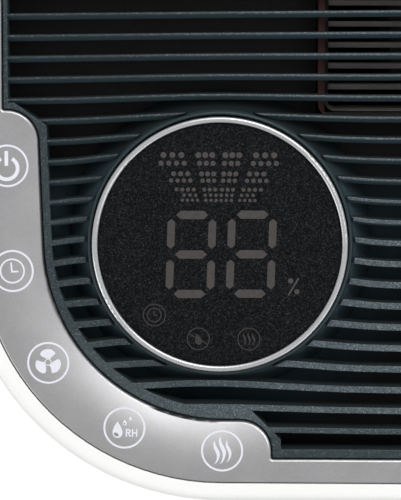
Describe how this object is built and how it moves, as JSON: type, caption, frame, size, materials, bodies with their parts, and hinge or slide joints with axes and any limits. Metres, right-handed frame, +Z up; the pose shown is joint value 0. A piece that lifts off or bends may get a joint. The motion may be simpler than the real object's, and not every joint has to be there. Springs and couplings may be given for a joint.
{
  "type": "clothes dryer",
  "caption": "Portable dehumidifying clothes dryer: white upright body on castors, slatted top air outlet, round display, silver touch-key band, front water tank and rear filter.",
  "frame": {"origin": "middle of the footprint on the floor", "axes": "+Z up, -Y towards the front where the tank pulls out, +X to the right seen from the front"},
  "size_m": [0.34, 0.24, 0.508],
  "materials": {
    "white_shell": "satin",
    "silver_band": "satin",
    "dark_grille": "matt",
    "bezel_metal": "satin",
    "smoked_lens": "gloss",
    "black_plastic": "matt",
    "circuit_board": "satin",
    "light_guide": "satin",
    "spring_steel": "bright",
    "chassis_grey": "matt",
    "pale_duct": "matt",
    "heater_brown": "matt",
    "bare_aluminium": "satin",
    "fan_plastic": "matt",
    "motor_steel": "satin",
    "compressor_paint": "gloss",
    "rubber_black": "matt",
    "copper": "bright",
    "tank_clear": "gloss",
    "lid_grey": "matt",
    "float_foam": "matt",
    "magnet": "matt",
    "filter_net": "matt",
    "castor_grey": "matt"
  },
  "bodies": {
    "body": {"top_cover": "white_shell", "control_fascia": "silver_band", "outlet_grille": "dark_grille", "display_cup": "black_plastic", "display_bezel": "bezel_metal", "display_lens": "smoked_lens", "display_board": "circuit_board", "digit_block": "light_guide", "touch_board": "circuit_board", "touch_springs": "spring_steel", "chassis": "chassis_grey", "base_pan": "white_shell", "base_screws": "spring_steel", "front_cover": "white_shell", "rear_cover": "white_shell", "cord_gland": "black_plastic", "outlet_duct": "heater_brown", "heater_frame": "pale_duct", "inner_deck": "black_plastic", "heater_bars": "bare_aluminium", "blower_scroll": "fan_plastic", "scroll_cover": "fan_plastic", "fan_motor": "motor_steel", "compressor": "compressor_paint", "compressor_grommets": "rubber_black", "evaporator_fins": "bare_aluminium", "evaporator_coil": "copper", "condenser_fins": "bare_aluminium", "condenser_coil": "copper", "discharge_pipe": "copper", "suction_pipe": "copper", "capillary_tube": "copper", "drip_tray": "chassis_grey", "level_sensor": "black_plastic", "control_box": "chassis_grey", "main_board": "circuit_board", "board_parts": "black_plastic"},
    "fan": {"blower_wheel": "fan_plastic", "motor_shaft": "spring_steel"},
    "tank": {"tank_body": "tank_clear", "tank_panel": "white_shell", "tank_lid": "lid_grey"},
    "bail": {"tank_bail": "lid_grey"},
    "float": {"tank_float": "float_foam", "float_magnet": "magnet"},
    "filter": {"inlet_grille": "white_shell", "filter_frame": "black_plastic", "filter_mesh": "filter_net"},
    "bung": {"drain_bung": "rubber_black"},
    "castor_front_left": {"castor_fork_front_left": "castor_grey"},
    "wheel_front_left": {"castor_wheel_front_left": "castor_grey"},
    "castor_front_right": {"castor_fork_front_right": "castor_grey"},
    "wheel_front_right": {"castor_wheel_front_right": "castor_grey"},
    "castor_rear_left": {"castor_fork_rear_left": "castor_grey"},
    "wheel_rear_left": {"castor_wheel_rear_left": "castor_grey"},
    "castor_rear_right": {"castor_fork_rear_right": "castor_grey"},
    "wheel_rear_right": {"castor_wheel_rear_right": "castor_grey"}
  },
  "joints": [
    {"name": "fan_spin", "type": "hinge", "parent": "body", "child": "fan", "pos_m": [0.02, 0.02, 0.35], "axis": [0, 1, 0], "continuous": true},
    {"name": "tank_slide", "type": "slide", "parent": "body", "child": "tank", "axis": [0, -1, 0], "range_m": [0, 0.16]},
    {"name": "bail_swing", "type": "hinge", "parent": "tank", "child": "bail", "pos_m": [0, -0.045, 0.204], "axis": [-1, 0, 0], "range_deg": [0, 90]},
    {"name": "float_swing", "type": "hinge", "parent": "tank", "child": "float", "pos_m": [0, -0.024, 0.1882], "axis": [-1, 0, 0], "range_deg": [0, 25]},
    {"name": "filter_pull", "type": "slide", "parent": "body", "child": "filter", "axis": [0, 1, 0], "range_m": [0, 0.06]},
    {"name": "bung_pull", "type": "slide", "parent": "body", "child": "bung", "axis": [0, 1, 0], "range_m": [0, 0.03]},
    {"name": "swivel_front_left", "type": "hinge", "parent": "body", "child": "castor_front_left", "pos_m": [-0.112, -0.072, 0.05], "axis": [0, 0, 1], "continuous": true},
    {"name": "roll_front_left", "type": "hinge", "parent": "castor_front_left", "child": "wheel_front_left", "pos_m": [-0.112, -0.062, 0.018], "axis": [1, 0, 0], "continuous": true},
    {"name": "swivel_front_right", "type": "hinge", "parent": "body", "child": "castor_front_right", "pos_m": [0.112, -0.072, 0.05], "axis": [0, 0, 1], "continuous": true},
    {"name": "roll_front_right", "type": "hinge", "parent": "castor_front_right", "child": "wheel_front_right", "pos_m": [0.112, -0.062, 0.018], "axis": [1, 0, 0], "continuous": true},
    {"name": "swivel_rear_left", "type": "hinge", "parent": "body", "child": "castor_rear_left", "pos_m": [-0.112, 0.072, 0.05], "axis": [0, 0, 1], "continuous": true},
    {"name": "roll_rear_left", "type": "hinge", "parent": "castor_rear_left", "child": "wheel_rear_left", "pos_m": [-0.112, 0.082, 0.018], "axis": [1, 0, 0], "continuous": true},
    {"name": "swivel_rear_right", "type": "hinge", "parent": "body", "child": "castor_rear_right", "pos_m": [0.112, 0.072, 0.05], "axis": [0, 0, 1], "continuous": true},
    {"name": "roll_rear_right", "type": "hinge", "parent": "castor_rear_right", "child": "wheel_rear_right", "pos_m": [0.112, 0.082, 0.018], "axis": [1, 0, 0], "continuous": true}
  ]
}
